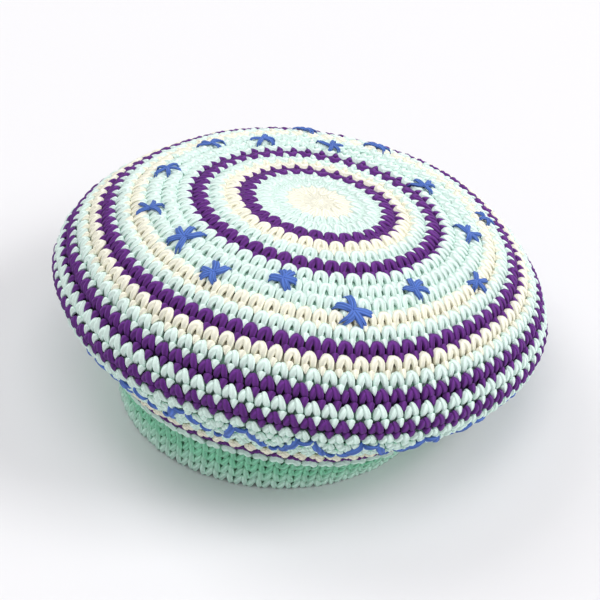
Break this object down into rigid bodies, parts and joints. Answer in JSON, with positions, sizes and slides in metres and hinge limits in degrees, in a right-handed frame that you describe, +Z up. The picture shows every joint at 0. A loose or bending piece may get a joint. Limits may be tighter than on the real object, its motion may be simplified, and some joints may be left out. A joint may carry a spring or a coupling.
{
  "type": "crocheted beret",
  "caption": "Puffy crocheted beret with a striped, slumped crown, embroidered stars and zigzag, and a narrow band open below for the head.",
  "frame": {"origin": "centre of the hat's box, on the surface that its band stands on", "axes": "+Z up out of the band, -Y towards the front where the rim is lifted, +X to the right seen from the front"},
  "size_m": [0.2662, 0.2742, 0.1186],
  "materials": {
    "mint_yarn": "soft cotton yarn, matt",
    "cream_yarn": "soft cotton yarn, matt",
    "purple_yarn": "soft cotton yarn, matt",
    "blue_yarn": "embroidery yarn, matt"
  },
  "bodies": {
    "root": {"crown_centre": "cream_yarn", "crown_mint_1": "mint_yarn", "crown_purple_1": "purple_yarn", "crown_cream_1": "cream_yarn", "crown_mint_2": "mint_yarn", "crown_purple_2": "purple_yarn", "star_field": "mint_yarn", "crown_cream_2": "cream_yarn", "crown_mint_3": "mint_yarn", "crown_purple_3": "purple_yarn", "crown_cream_3": "cream_yarn", "crown_mint_4": "mint_yarn", "crown_purple_4": "purple_yarn", "rim_mint": "mint_yarn", "rim_purple": "purple_yarn", "underside": "mint_yarn", "underside_cream": "cream_yarn", "underside_purple": "purple_yarn", "head_band": "mint_yarn"}
  },
  "joints": []
}
